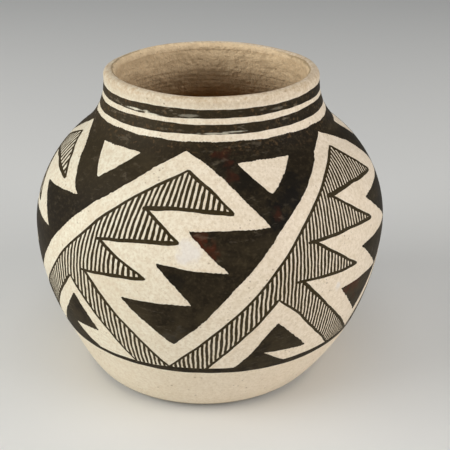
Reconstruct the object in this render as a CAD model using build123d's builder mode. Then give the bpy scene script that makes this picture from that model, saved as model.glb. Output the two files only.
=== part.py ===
"""A hand-built pueblo jar: a moulded base, rings of coiled clay, a white slip and a black painted design.

Millimetres, +Z up. The jar stands on z = 0 with its axis on Z, and the front of the design faces -Y.
Angles about the axis are counted in degrees from the front, growing towards +X.
"""

import os
from math import acos, asin, atan2, ceil, cos, degrees, hypot, radians, sin, sqrt

from build123d import *

# Finished outside of the jar, over the slip
BELLY_RADIUS = 70.0  # widest radius
BELLY_HEIGHT = 60.0  # height of the widest place
LOWER_ARC = 90.0  # arc of the wall under the belly
HEEL_ARC = 8.0  # turn from the wall to the foot
SHOULDER_ARC = 48.0  # arc of the wall over the belly
NECK_ARC = 25.0  # hollow turn from the shoulder to the neck
MOUTH_RADIUS = 41.0  # outside of the neck
NECK_UPRIGHT = 1.0  # straight stretch under the lip

# Clay and coats
WALL = 4.0
SLIP = 0.3
PAINT = 0.1
PAINT_CLEAR = 0.05  # between the slip and the paint on it
FOOT_WIDTH = 8.0  # flat ring that the jar stands on
DIMPLE = 1.5  # rise of the hollow inside that ring

# Coils, measured along the wall
BASE_RISE = 10.0  # wall that belongs to the moulded base, above the heel
RIM_COIL = 7.0  # wall that belongs to the rim coil, under the lip
WALL_COILS = 7
LAP = 4.0  # slant of the joint between two coils, outside edge above the inside edge

# Painted rings, counted down from the crest of the lip
BARE_LIP = 4.75
UPPER_BAND = 3.2
BAND_GAP = 1.8
LOWER_BAND = 3.4
FIELD_GAP = 2.0
# Painted ring under the design, counted up from the floor
BASE_LINE_HEIGHT = 24.5
BASE_LINE = 2.5

# Layout of the design around the jar
REPEATS = 5
FIRST_PEAK = 16.5  # first peak, in degrees past the place where the repeats are narrowest
NARROWEST = -25.0  # that place, in degrees from the front
EASE = 5.2  # how far the hand-spaced repeats run ahead or behind, in degrees
HATCHES = 44  # hatching lines in one repeat
HATCH = 0.75  # width of a hatching line at the belly
HATCH_CLEAR = 0.4  # bare slip between a hatching line and the outline

# One repeat of the design on a flat sheet: across from the peak, up from the base line.
# The sheet is stretched over one repeat and over the height of the field.
SHEET_WIDTH = 66.0
SHEET_HEIGHT = 79.4
SHEET_STEP = 8.0  # longest straight side that is laid on the round wall
OUTLINE = 1.0  # line round a hatched field, on the sheet
PEAK = (0, 76.7)
WHITE_BAND = [(-0.5, 12.9), (10, 24.6), (20, 39.5), (30, 52.7), (36, 58.5), (46, 66), (56, 72.3)]
RIGHT_SLOPE = [(10, 72.3), (14.7, 69.8), (20, 65.1), (25, 59.9), (28.8, 55.6)]
SOLID_TEETH = [(4.8, 54.9), (16.3, 42.1), (-4.3, 44.1), (6.2, 30.3), (-15, 29.5)]
SHOULDER_WINDOW = [(22.4, 74.5), (45.6, 74.5), (32.5, 65.3)]
HATCHED_SLOPE = [(1.9, 72), (10, 67), (17.7, 60.3)]
HATCHED_TEETH = [(0, 61.4), (-10.4, 60.6), (1.5, 51.4), (-24.2, 48.3), (-7.5, 38.5), (-28.5, 35.6)]
STRIP_DOWN = [(-20, 24.6), (-10, 12), (-3, 1.8), (-3, 0)]
STRIP_UNDER = [(-13.6, 0), (-20, 10.5), (-30, 24.3), (-35.2, 30.6), (-41, 22.2), (-51, 7.5), (-56.6, 0)]
STRIP_UP = [(-69, 0), (-69, 1.8), (-56, 15), (-46, 27.4), (-36, 42.3), (-25.5, 54.8), (-15, 63.5), (-5, 69.1)]
FOOT_PEAK = [(18, 0), (22.4, 5.6), (31, 21.7), (41.3, 6.8), (27, 7.6), (33.2, 2.4), (37.2, 0)]

# The outline of the wall as tangent arcs, from the heel up: centre, radius, first angle, last angle, and
# +1 where the wall is round outside or -1 where it is hollow
SHOULDER_CENTRE = BELLY_RADIUS - SHOULDER_ARC
SHOULDER_TURN = degrees(acos((MOUTH_RADIUS + NECK_ARC - SHOULDER_CENTRE) / (SHOULDER_ARC + NECK_ARC)))
NECK_HEIGHT = BELLY_HEIGHT + (SHOULDER_ARC + NECK_ARC) * sin(radians(SHOULDER_TURN))
LOWER_CENTRE = BELLY_RADIUS - LOWER_ARC
HEEL_CENTRE = LOWER_CENTRE + sqrt((LOWER_ARC - HEEL_ARC) ** 2 - (BELLY_HEIGHT - HEEL_ARC) ** 2)
HEEL_TURN = -degrees(atan2(BELLY_HEIGHT - HEEL_ARC, HEEL_CENTRE - LOWER_CENTRE))
WALL_ARCS = [
    ((LOWER_CENTRE, BELLY_HEIGHT), LOWER_ARC, HEEL_TURN, 0, 1),
    ((SHOULDER_CENTRE, BELLY_HEIGHT), SHOULDER_ARC, 0, SHOULDER_TURN, 1),
    ((MOUTH_RADIUS + NECK_ARC, NECK_HEIGHT), NECK_ARC, 180 + SHOULDER_TURN, 180, -1),
]
LIP_HEIGHT = NECK_HEIGHT + NECK_UPRIGHT  # middle of the rounded lip
LIP_RADIUS = MOUTH_RADIUS - SLIP - WALL / 2
CREST = LIP_HEIGHT + WALL / 2 + SLIP
CLAY = SLIP  # depth of the clay under the finished outside
INSIDE = SLIP + WALL  # depth of the inside of the wall
PAINT_UNDER = -PAINT_CLEAR  # depth of the underside of the paint, which lies over the outside
PAINT_OVER = PAINT_UNDER - PAINT  # depth of the face of the paint

FIELD_TOP = CREST - BARE_LIP - UPPER_BAND - BAND_GAP - LOWER_BAND - FIELD_GAP
FIELD_BOTTOM = BASE_LINE_HEIGHT + BASE_LINE


def on_arc(arc, angle, depth):
    """Point (radius, height) at an angle on one arc of the wall, at a depth under the outside."""
    (across, height), radius, _, _, side = arc
    reach = radius - side * depth
    return across + reach * cos(radians(angle)), height + reach * sin(radians(angle))


def along_wall(distance, depth):
    """Point (radius, height) at a distance along the wall from the heel, at a depth under the outside."""
    for arc in WALL_ARCS:
        _, radius, first, last, _ = arc
        length = radius * radians(abs(last - first))
        if distance <= length:
            return on_arc(arc, first + (last - first) * distance / length, depth)
        distance -= length
    return MOUTH_RADIUS - depth, NECK_HEIGHT + distance


def radius_at(height):
    """Outside radius of the finished wall at a height."""
    if height >= NECK_HEIGHT:
        return MOUTH_RADIUS
    for arc in WALL_ARCS:
        (across, middle), radius, _, last, side = arc
        if height <= on_arc(arc, last, 0)[1]:
            return across + side * sqrt(radius**2 - (height - middle) ** 2)


def wall_line(depth):
    """Draw the arcs of the wall and the upright under the lip, at a depth under the outside."""
    for centre, radius, first, last, side in WALL_ARCS:
        CenterArc(centre, radius - side * depth, first, last - first)
    Line((MOUTH_RADIUS - depth, NECK_HEIGHT), (MOUTH_RADIUS - depth, LIP_HEIGHT))


def save(builder, name):
    """Label a finished piece, write it and say what it is."""
    builder.part.label = name
    export_step(builder.part, f"parts/{name}.step")
    print(f"{name}: {len(builder.part.solids())} solid, {builder.part.volume:.1f} mm3")


os.makedirs("parts", exist_ok=True)

# Section of all the clay, from the axis to the lip
DIMPLE_RADIUS = HEEL_CENTRE - FOOT_WIDTH
with BuildSketch(Plane.XZ) as clay:
    with BuildLine():
        wall_line(CLAY)
        CenterArc((LIP_RADIUS, LIP_HEIGHT), WALL / 2, 0, 180)
        wall_line(INSIDE)
        CenterArc((HEEL_CENTRE, HEEL_ARC), HEEL_ARC - INSIDE, HEEL_TURN, -90 - HEEL_TURN)
        Polyline((HEEL_CENTRE, INSIDE), (0, INSIDE), (0, DIMPLE))
        SagittaArc((0, DIMPLE), (DIMPLE_RADIUS, 0), -DIMPLE / 4)
        Line((DIMPLE_RADIUS, 0), (HEEL_CENTRE, 0))
        CenterArc((HEEL_CENTRE, HEEL_ARC), HEEL_ARC, -90, 90 + HEEL_TURN)
        Line(along_wall(0, 0), along_wall(0, CLAY))
    make_face()

# Joints between the coils: slanted lines right through the wall, from outside it to inside it
MARGIN = WALL
ARC_LENGTHS = [radius * radians(abs(last - first)) for _, radius, first, last, _ in WALL_ARCS]
WALL_LENGTH = sum(ARC_LENGTHS) + NECK_UPRIGHT
COIL = (WALL_LENGTH - BASE_RISE - RIM_COIL) / (WALL_COILS + 1)
joints = []
for count in range(WALL_COILS + 2):
    middle = BASE_RISE + count * COIL
    outer = along_wall(middle + LAP / 2, -MARGIN)
    inner = along_wall(middle - LAP / 2, INSIDE + MARGIN)
    joints.append((outer, inner))


def clay_ring(name, cell):
    """Turn the clay section that lies in a cell of the (radius, height) plane into one ring of clay."""
    with BuildPart() as ring:
        with BuildSketch(Plane.XZ):
            add(clay.sketch)
            with BuildLine():
                Polyline(*cell, close=True)
            make_face(mode=Mode.INTERSECT)
        revolve(axis=Axis.Z)
    save(ring, name)


base_outer, base_inner = joints[0]
OUT = BELLY_RADIUS + MARGIN
BELOW = -MARGIN
base_cell = [base_outer, base_inner, (0, base_inner[1]), (0, BELOW), (OUT, BELOW), (OUT, base_outer[1])]
clay_ring("base_bowl", base_cell)
coil_names = [f"wall_coil_{count}" for count in range(1, WALL_COILS + 1)] + ["neck_coil"]
for name, (low_out, low_in), (high_out, high_in) in zip(coil_names, joints, joints[1:]):
    clay_ring(name, [low_out, high_out, high_in, low_in])
rim_outer, rim_inner = joints[-1]
ABOVE = CREST + MARGIN
clay_ring("rim_coil", [rim_outer, (rim_outer[0], ABOVE), (rim_inner[0], ABOVE), rim_inner])

# White slip over the outside and round the lip, ending above the foot and just inside the mouth
with BuildPart() as slip:
    with BuildSketch(Plane.XZ):
        with BuildLine():
            wall_line(0)
            CenterArc((LIP_RADIUS, LIP_HEIGHT), WALL / 2 + SLIP, 0, 180)
            inner_edge = MOUTH_RADIUS - INSIDE
            Polyline(
                (inner_edge - SLIP, LIP_HEIGHT),
                (inner_edge - SLIP, NECK_HEIGHT),
                (inner_edge, NECK_HEIGHT),
                (inner_edge, LIP_HEIGHT),
            )
            CenterArc((LIP_RADIUS, LIP_HEIGHT), WALL / 2, 0, 180)
            wall_line(CLAY)
            Line(along_wall(0, 0), along_wall(0, CLAY))
        make_face()
    revolve(axis=Axis.Z)
save(slip, "slip_coat")

# Section of a film of paint over the whole wall
with BuildSketch(Plane.XZ) as film:
    with BuildLine():
        wall_line(PAINT_UNDER)
        wall_line(PAINT_OVER)
        Line(along_wall(0, PAINT_UNDER), along_wall(0, PAINT_OVER))
        Line((MOUTH_RADIUS - PAINT_UNDER, LIP_HEIGHT), (MOUTH_RADIUS - PAINT_OVER, LIP_HEIGHT))
    make_face()


def painted_ring(bottom, top):
    """A film of paint right round the jar between two heights."""
    with BuildPart() as ring:
        with BuildSketch(Plane.XZ):
            add(film.sketch)
            with BuildLine():
                Polyline((0, bottom), (OUT, bottom), (OUT, top), (0, top), close=True)
            make_face(mode=Mode.INTERSECT)
        revolve(axis=Axis.Z)
    return ring


upper_band_top = CREST - BARE_LIP
lower_band_top = upper_band_top - UPPER_BAND - BAND_GAP
save(painted_ring(upper_band_top - UPPER_BAND, upper_band_top), "neck_band_upper")
save(painted_ring(lower_band_top - LOWER_BAND, lower_band_top), "neck_band_lower")
save(painted_ring(BASE_LINE_HEIGHT, FIELD_BOTTOM), "base_line")
field_film = painted_ring(FIELD_BOTTOM, FIELD_TOP)


def angle_at(repeat, across):
    """Angle from the front, in degrees, of a place on the sheet in one of the repeats.

    The repeats are spaced by hand: they are a little narrow at one side of the jar and wide at the other.
    """
    turn = FIRST_PEAK + 360 / REPEATS * (repeat + across / SHEET_WIDTH)
    return NARROWEST + turn - EASE * sin(radians(turn))


def height_at(up):
    """Height on the jar of a place on the sheet."""
    return FIELD_BOTTOM + (FIELD_TOP - FIELD_BOTTOM) * up / SHEET_HEIGHT


def seen_from(repeat, middle, points):
    """Outline on the sheet as it is seen from straight in front of its middle, with long sides divided."""
    front = angle_at(repeat, middle)
    placed = []
    for (x1, y1), (x2, y2) in zip(points, points[1:] + points[:1]):
        steps = ceil(hypot(x2 - x1, y2 - y1) / SHEET_STEP)
        for step in range(steps):
            height = height_at(y1 + (y2 - y1) * step / steps)
            angle = angle_at(repeat, x1 + (x2 - x1) * step / steps) - front
            placed.append((radius_at(height) * sin(radians(angle)), height))
    return placed


def facing(repeat, middle):
    """Upright plane through the axis that faces outwards at a place across the sheet."""
    angle = radians(angle_at(repeat, middle))
    return Plane((0, 0, 0), x_dir=(cos(angle), sin(angle), 0), z_dir=(sin(angle), -cos(angle), 0))


def inside(outline, across):
    """Stretches (low, high) of an upright line on the sheet that lie inside an outline."""
    crossings = []
    for (x1, y1), (x2, y2) in zip(outline, outline[1:] + outline[:1]):
        if (x1 - across) * (x2 - across) < 0:
            crossings.append(y1 + (y2 - y1) * (across - x1) / (x2 - x1))
    crossings.sort()
    return list(zip(crossings[::2], crossings[1::2]))


def shared(ones, others):
    """Stretches that two lists of stretches have in common."""
    pairs = [(max(one[0], other[0]), min(one[1], other[1])) for one in ones for other in others]
    return [(low, high) for low, high in pairs if high > low]


def hatch_lines(outline):
    """Hatching that stays inside an outline on the sheet over its whole width: (across, low, high)."""
    pitch = SHEET_WIDTH / HATCHES
    half = degrees(HATCH / BELLY_RADIUS) * REPEATS * SHEET_WIDTH / 360 / 2
    begin = int(min(across for across, _ in outline) // pitch)
    end = int(max(across for across, _ in outline) // pitch)
    lines = []
    for count in range(begin, end + 1):
        across = (count + 0.5) * pitch
        stretches = inside(outline, across)
        for side in (across - half, across + half):
            stretches = shared(stretches, inside(outline, side))
        lines += [(across, low, high) for low, high in stretches if high - low > pitch]
    return lines


def angle_on(arc, height):
    """Angle on one arc of the wall at a height."""
    (_, middle), radius, _, _, side = arc
    lift = degrees(asin((height - middle) / radius))
    return lift if side > 0 else 180 - lift


def film_patch(low, high):
    """Draw the section of the paint film between two heights, with its ends square to the wall."""
    ends = []
    for arc in WALL_ARCS:
        centre, radius, first, last, side = arc
        bottom, top = on_arc(arc, first, 0)[1], on_arc(arc, last, 0)[1]
        if bottom < high and low < top:
            start, stop = angle_on(arc, max(low, bottom)), angle_on(arc, min(high, top))
            CenterArc(centre, radius - side * PAINT_UNDER, start, stop - start)
            CenterArc(centre, radius - side * PAINT_OVER, start, stop - start)
            ends += [(arc, start), (arc, stop)]
    for arc, angle in (ends[0], ends[-1]):
        Line(on_arc(arc, angle, PAINT_UNDER), on_arc(arc, angle, PAINT_OVER))


def hatch_stroke(repeat, across, low, high):
    """One hatching line: the section of the film turned through the line's width."""
    width = degrees(HATCH / BELLY_RADIUS)
    side = radians(angle_at(repeat, across) - width / 2)
    section = Plane((0, 0, 0), x_dir=(sin(side), -cos(side), 0), z_dir=(-cos(side), -sin(side), 0))
    with BuildPart() as stroke:
        with BuildSketch(section):
            with BuildLine():
                film_patch(height_at(low) + HATCH_CLEAR, height_at(high) - HATCH_CLEAR)
            make_face()
        revolve(axis=Axis.Z, revolution_arc=width)
    return stroke.part


def painted(name, sketch):
    """Press a drawing that faces outwards on the film round the jar, and keep the film behind it."""
    with BuildPart() as field:
        extrude(sketch, amount=OUT)
        add(field_film.part, mode=Mode.INTERSECT)
    save(field, name)


BLACK_OUTLINE = [(0, SHEET_HEIGHT), PEAK, *RIGHT_SLOPE, *SOLID_TEETH, *WHITE_BAND]
BLACK_OUTLINE += [(PEAK[0] + SHEET_WIDTH, PEAK[1]), (SHEET_WIDTH, SHEET_HEIGHT)]
HATCHED_OUTLINE = HATCHED_SLOPE + HATCHED_TEETH + STRIP_DOWN + STRIP_UNDER + STRIP_UP
BLACK_MIDDLE = 25.0
HATCHED_MIDDLE = -25.0
FOOT_MIDDLE = 30.0

# Inner edge of the line round a hatched field, on the sheet
with BuildSketch() as inner_field:
    Polygon(*HATCHED_OUTLINE, align=None)
    offset(amount=-OUTLINE, kind=Kind.INTERSECTION, mode=Mode.REPLACE)
INNER_OUTLINE = [(edge.position_at(0).X, edge.position_at(0).Y) for edge in inner_field.wire().order_edges()]
HATCHING = hatch_lines(INNER_OUTLINE)

for repeat in range(REPEATS):
    number = repeat + 1

    with BuildSketch(facing(repeat, BLACK_MIDDLE)) as black:
        Polygon(*seen_from(repeat, BLACK_MIDDLE, BLACK_OUTLINE), align=None)
        Polygon(*seen_from(repeat, BLACK_MIDDLE, SHOULDER_WINDOW), align=None, mode=Mode.SUBTRACT)
    painted(f"black_field_{number}", black.sketch)

    with BuildSketch(facing(repeat, HATCHED_MIDDLE)) as hatched:
        Polygon(*seen_from(repeat, HATCHED_MIDDLE, HATCHED_OUTLINE), align=None)
        Polygon(*seen_from(repeat, HATCHED_MIDDLE, INNER_OUTLINE), align=None, mode=Mode.SUBTRACT)
    painted(f"hatch_outline_{number}", hatched.sketch)

    strokes = [hatch_stroke(repeat, *line) for line in HATCHING]
    with BuildPart() as hatching:
        add(strokes)
    save(hatching, f"hatching_{number}")

    with BuildSketch(facing(repeat, FOOT_MIDDLE)) as foot:
        Polygon(*seen_from(repeat, FOOT_MIDDLE, FOOT_PEAK), align=None)
    painted(f"foot_peak_{number}", foot.sketch)
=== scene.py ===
# %% [markdown]
# # A pueblo jar
# The jar is built up from rings of clay, coated with a white slip and painted with a brush.
# The solid model holds the true size and the place of every piece. This lesson gives each piece
# its hand-made surface and its finish, and it works in millimetres until a mesh is made.

import bpy
import numpy as np
from mathutils import Matrix, Vector
from mathutils.geometry import delaunay_2d_cdt


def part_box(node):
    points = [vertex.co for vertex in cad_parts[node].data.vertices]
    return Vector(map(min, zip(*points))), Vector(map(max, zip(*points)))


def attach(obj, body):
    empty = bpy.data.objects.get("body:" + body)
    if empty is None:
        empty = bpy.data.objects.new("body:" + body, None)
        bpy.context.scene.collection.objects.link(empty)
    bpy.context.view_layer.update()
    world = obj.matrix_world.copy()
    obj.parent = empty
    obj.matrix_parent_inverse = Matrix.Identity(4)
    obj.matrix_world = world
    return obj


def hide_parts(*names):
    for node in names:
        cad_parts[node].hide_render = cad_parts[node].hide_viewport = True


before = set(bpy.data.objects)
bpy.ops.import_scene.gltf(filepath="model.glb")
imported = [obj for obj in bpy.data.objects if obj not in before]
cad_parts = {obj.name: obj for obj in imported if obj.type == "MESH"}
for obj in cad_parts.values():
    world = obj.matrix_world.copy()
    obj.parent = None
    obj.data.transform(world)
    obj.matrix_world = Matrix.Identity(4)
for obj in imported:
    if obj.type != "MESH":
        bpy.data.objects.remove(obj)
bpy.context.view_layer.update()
MM = 0.001


def heights_of(node):
    """Lowest and highest place of a solid node, in mm."""
    low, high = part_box(node)
    return low.z / MM, high.z / MM


CREST = heights_of("slip_coat")[1]
BAND_UPPER = heights_of("neck_band_upper")
BAND_LOWER = heights_of("neck_band_lower")
BASE_LINE = heights_of("base_line")
FIELD_TOP = heights_of("black_field_1")[1]
FIELD_BOTTOM = BASE_LINE[1]
print("solid nodes:", len(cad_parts), "crest at", round(CREST, 2), "mm")

# %% [markdown]
# ## The camera
# The photograph looks down on the jar from close by, so the mouth is a wide oval and the foot is
# foreshortened. A long lens from far away would frame the jar too, but it would flatten that oval.
# So the camera stands where the perspective comes from, and leans a little, as a hand-held one does.

# %% Camera
AIM = Vector((5.8, 0.0, 54.2)) * MM
CAMERA_DISTANCE = 339.3 * MM
LOOK_DOWN = np.radians(25.5)
LEAN = np.radians(0.475)
LENS = 65.3
NEAREST = 0.01
forward = Vector((0, np.cos(LOOK_DOWN), -np.sin(LOOK_DOWN)))
level = Vector((1, 0, 0))
upward = level.cross(forward)
right = Vector(level * np.cos(LEAN) + upward * np.sin(LEAN))
top = right.cross(forward)
camera = bpy.data.objects.new("camera", bpy.data.cameras.new("camera"))
camera.data.lens = LENS
camera.data.clip_start = NEAREST
facing = Matrix((right, top, -forward)).transposed().to_4x4()
camera.matrix_world = Matrix.Translation(AIM - forward * CAMERA_DISTANCE) @ facing
bpy.context.scene.collection.objects.link(camera)
bpy.context.scene.camera = camera
print("camera at", [round(v, 4) for v in camera.location])

# %% [markdown]
# ## The outline of the wall
# A potter's wall is a run of easy curves. It could be a freehand spline, but then the inside of the
# wall and the place of the paint would have to be searched for. Five tangent stretches are used
# instead: the heel, an arc under the belly, one over the shoulder, a hollow one into the neck and a
# short upright. Along them the outward direction turns steadily, so one angle gives both the place
# and the direction.

# %% Sizes of the outline
BELLY_RADIUS = 70.0
BELLY_HEIGHT = 60.0
LOWER_ARC = 90.0
HEEL_ARC = 8.0
SHOULDER_ARC = 48.0
NECK_ARC = 25.0
MOUTH_RADIUS = 41.0
NECK_UPRIGHT = 1.0
WALL = 4.0
SLIP = 0.3
INSIDE = WALL + SLIP
SHOULDER_CENTRE = BELLY_RADIUS - SHOULDER_ARC
LOWER_CENTRE = BELLY_RADIUS - LOWER_ARC
SHOULDER_TURN = np.arccos((MOUTH_RADIUS + NECK_ARC - SHOULDER_CENTRE) / (SHOULDER_ARC + NECK_ARC))
NECK_HEIGHT = BELLY_HEIGHT + (SHOULDER_ARC + NECK_ARC) * np.sin(SHOULDER_TURN)
HEEL_CENTRE = LOWER_CENTRE + np.sqrt((LOWER_ARC - HEEL_ARC) ** 2 - (BELLY_HEIGHT - HEEL_ARC) ** 2)
HEEL_TURN = np.arctan2(BELLY_HEIGHT - HEEL_ARC, HEEL_CENTRE - LOWER_CENTRE)
LIP_HEIGHT = NECK_HEIGHT + NECK_UPRIGHT
LIP_RADIUS = MOUTH_RADIUS - SLIP - WALL / 2
SHOULDER_START = LOWER_ARC * HEEL_TURN
NECK_START = SHOULDER_START + SHOULDER_ARC * SHOULDER_TURN
UPRIGHT_START = NECK_START + NECK_ARC * SHOULDER_TURN
WALL_LENGTH = UPRIGHT_START + NECK_UPRIGHT
print("wall length", round(WALL_LENGTH, 1), "mm, crest", round(LIP_HEIGHT + WALL / 2 + SLIP, 2), "mm")

# %% Outline as a function of the distance along the wall
TABLE_STEPS = 800


def wall_at(distance, depth=0.0):
    """Radius and height at a distance along the wall from the heel, at a depth under the outside.

    Each stretch is centre + (arc - depth) * (cos turn, sin turn), with a negative arc where the wall
    is hollow.
    """
    d = np.asarray(distance, float)
    stretch = [d < 0, d < SHOULDER_START, d < NECK_START, d < UPRIGHT_START]
    turns = [d / HEEL_ARC - HEEL_TURN, d / LOWER_ARC - HEEL_TURN,
             (d - SHOULDER_START) / SHOULDER_ARC, (UPRIGHT_START - d) / NECK_ARC]
    arcs = [HEEL_ARC, LOWER_ARC, SHOULDER_ARC, -NECK_ARC]
    centres = [HEEL_CENTRE, LOWER_CENTRE, SHOULDER_CENTRE, MOUTH_RADIUS + NECK_ARC]
    heights = [HEEL_ARC, BELLY_HEIGHT, BELLY_HEIGHT, NECK_HEIGHT]
    turn = np.select(stretch, turns, 0.0)
    arc = np.select(stretch, arcs, 0.0) - depth
    radius = np.select(stretch, centres, MOUTH_RADIUS)
    height = np.select(stretch, heights, NECK_HEIGHT + d - UPRIGHT_START)
    return radius + arc * np.cos(turn), height + arc * np.sin(turn)


wall_table = np.linspace(0, WALL_LENGTH, TABLE_STEPS)
wall_table_heights = wall_at(wall_table)[1]


def distance_at(height):
    """Distance along the wall of a height on the outside, looked up between the steps of a table."""
    return np.interp(height, wall_table_heights, wall_table)


print("the belly lies", distance_at(BELLY_HEIGHT).round(1), "mm along the wall")

# %% [markdown]
# ## The hand in the form
# No wheel turns here, so the jar isn't a perfect round: the middle sways a little from ring to ring,
# the wall swells and dips, the rim waves and the foot stands off the middle. Each piece could be
# sculpted by itself, but the coats would then part from the clay. So one function bends every piece.

# %% Unevenness of a hand-built wall
SWAY = 0.65
SWAY_MIDDLE = 68.0
SWAY_HALF = 66.0
# Waves in the wall: count, size, phase, drift with the height; on the rim: count, size, phase
SWELLS = ((2, 0.28, 0.6, 0.020), (3, 0.20, 2.1, -0.031), (5, 0.13, 4.0, 0.047), (9, 0.06, 1.1, -0.090))
RIM_WAVES = ((2, 0.12, 1.2), (3, 0.14, 4.4), (7, 0.07, 0.3))
RIM_RISE = 7.0
RIM_DIP = 1.1
RIM_DIP_REACH = 0.9
FOOT_STEADY = 12.0
FOOT_ASIDE = (-2.5, -2.7)
FOOT_RISE = 24.0


def hand_built(angle, radius, height):
    """Bend a round form as hands do, and give x, y, z.

    The radius gets waves round the jar that drift with the height and fade out at the foot, the
    middle sways by a sine of the height, and near the lip the height gets waves and a dip at the
    front. The foot stands off the middle, and an easy step of the height brings the wall back over
    it. Angle 0 is the front and grows to the right.
    """
    steady = np.clip(height / FOOT_STEADY, 0, 1)
    swell = sum(size * np.sin(count * angle + phase + drift * height)
                for count, size, phase, drift in SWELLS)
    near_rim = np.clip((height - CREST + RIM_RISE) / RIM_RISE, 0, 1) ** 2
    aside = np.arctan2(np.sin(angle), np.cos(angle)) / RIM_DIP_REACH
    wave = sum(size * np.sin(count * angle + phase) for count, size, phase in RIM_WAVES)
    wave = wave - RIM_DIP * np.exp(-aside**2)
    sway = SWAY * np.sin(np.pi * (height - SWAY_MIDDLE) / SWAY_HALF) * steady
    low = np.clip(1 - height / FOOT_RISE, 0, 1)
    low = low * low * (3 - 2 * low)
    r = radius + steady * swell * np.clip(radius / MOUTH_RADIUS, 0, 1)
    x = r * np.sin(angle) + sway + FOOT_ASIDE[0] * low
    y = -r * np.cos(angle) + FOOT_ASIDE[1] * low
    return np.stack(np.broadcast_arrays(x, y, height + near_rim * wave), -1)


print("the middle of the foot lands at", hand_built(0.0, 0.0, 0.0).round(2), "mm")

# %% [markdown]
# ## From arrays to pieces
# Every piece is a closed surface, and most of them are grids of points. Blender's spin tool could turn
# such rings, but with whole arrays each coat lies exactly on the one below. A few helpers number the
# corners of a grid, turn the faces outwards by the sign of the volume, fill a mesh in one go and put
# the piece under the root in place of its solid node.


# %% Faces of a grid
def quads(rows, columns, wrap_rows=False, wrap_columns=False):
    """Corner numbers of the quads of a grid of points that is counted row by row."""
    row_count, column_count = rows - (not wrap_rows), columns - (not wrap_columns)
    r, c = np.meshgrid(np.arange(row_count), np.arange(column_count), indexing="ij")
    below, beside = (r + 1) % rows, (c + 1) % columns
    corners = [r * columns + c, r * columns + beside, below * columns + beside, below * columns + c]
    return np.stack(corners, -1).reshape(-1, 4)


def volume_of(points, faces):
    """Signed volume inside closed faces: the sum of the tetrahedra from the origin, fan by fan."""
    total = 0.0
    for k in range(1, faces.shape[1] - 1):
        a, b, c = points[faces[:, 0]], points[faces[:, k]], points[faces[:, k + 1]]
        total += np.einsum("ij,ij->", a, np.cross(b, c)) / 6
    return total


print("a grid of 3 by 4 points has", len(quads(3, 4)), "quads")

# %% Pieces
CREASE = np.radians(40)


def make_piece(name, points, face_sets, material, slot):
    """Put points in mm and lists of faces into a mesh, and let it stand for the solid node."""
    points = points.reshape(-1, 3)
    if sum(volume_of(points, faces) for faces in face_sets) < 0:
        face_sets = [faces[:, ::-1] for faces in face_sets]
    corners = np.concatenate([faces.ravel() for faces in face_sets]).astype(np.int32)
    sizes = np.concatenate([np.full(len(faces), faces.shape[1]) for faces in face_sets])
    mesh = bpy.data.meshes.new(name)
    mesh.vertices.add(len(points))
    mesh.vertices.foreach_set("co", (points * MM).astype(np.float32).ravel())
    mesh.loops.add(len(corners))
    mesh.loops.foreach_set("vertex_index", corners)
    mesh.polygons.add(len(sizes))
    mesh.polygons.foreach_set("loop_start", (np.cumsum(sizes) - sizes).astype(np.int32))
    mesh.polygons.foreach_set("use_smooth", np.ones(len(sizes), bool))
    mesh.update(calc_edges=True)
    mesh.set_sharp_from_angle(angle=CREASE)
    mesh.materials.append(material)
    piece = bpy.data.objects.new(name, mesh)
    bpy.context.scene.collection.objects.link(piece)
    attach(piece, "root")
    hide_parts(name)
    print(name, len(points), "points,", int((sizes - 2).sum()), "triangles")


# %% [markdown]
# ## Helpers for the finishes
# A finish is a web of nodes that turns a place on the jar into colour, roughness and bump. It could
# be wired by hand in the shader editor. In code, a few helpers make a node, join it and name it in
# one line, so that a finish reads like a recipe.


# %% Node helpers
def add_node(tree, kind, inputs=None, **settings):
    """Make a node, set its options, and fill each named input with a value, a colour or a link."""
    made = tree.nodes.new(kind)
    for option, value in settings.items():
        setattr(made, option, value)
    for socket, value in (inputs or {}).items():
        if isinstance(value, bpy.types.NodeSocket):
            tree.links.new(value, made.inputs[socket])
        elif made.inputs[socket].type == "RGBA":
            made.inputs[socket].default_value = (*value, 1.0)
        else:
            made.inputs[socket].default_value = value
    return made


def math(tree, operation, first, second=0.0):
    """One step of arithmetic on values."""
    return add_node(tree, "ShaderNodeMath", {0: first, 1: second}, operation=operation).outputs[0]


def both(tree, first, second):
    """Where two masks hold together: their product. A number makes a mask weaker or stronger."""
    return math(tree, "MULTIPLY", first, second)


def vector(tree, operation, first, second=(0.0, 0.0, 0.0)):
    """One step of arithmetic on places, with a vector and a value as outputs."""
    return add_node(tree, "ShaderNodeVectorMath", {0: first, 1: second}, operation=operation).outputs


def xyz(tree, x, y, z):
    """A place from three values."""
    return add_node(tree, "ShaderNodeCombineXYZ", {"X": x, "Y": y, "Z": z}).outputs[0]


def ramp(tree, value, low, high, to_low=0.0, to_high=1.0):
    """Spread a value from one range on another by an easy step."""
    ends = {"Value": value, "From Min": low, "From Max": high, "To Min": to_low, "To Max": to_high}
    return add_node(tree, "ShaderNodeMapRange", ends, interpolation_type="SMOOTHSTEP").outputs[0]


def own_place(tree):
    """The piece's own coordinates, in metres."""
    return add_node(tree, "ShaderNodeTexCoord").outputs["Object"]


print("nodes of Blender", bpy.app.version_string)

# %% [markdown]
# ## Shared effects
# Fired clay, slip and mineral paint share a few effects: cloudy mottling, small specks, the long
# level marks of a scraper or a brush, and single ragged spots. Pictures of clay could be wrapped
# round the jar, but they would stretch at the shoulder. Each effect is a node group that reads the
# piece's own coordinates, so it stays put from every side and each finish gives it its own values.

# %% Clouds, specks and level marks
NOISE_ROUGH = 0.6
CLOUD_DETAIL = 5.0
MARK_DETAIL = 6.0
SPECK_CORE = 0.5


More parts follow.
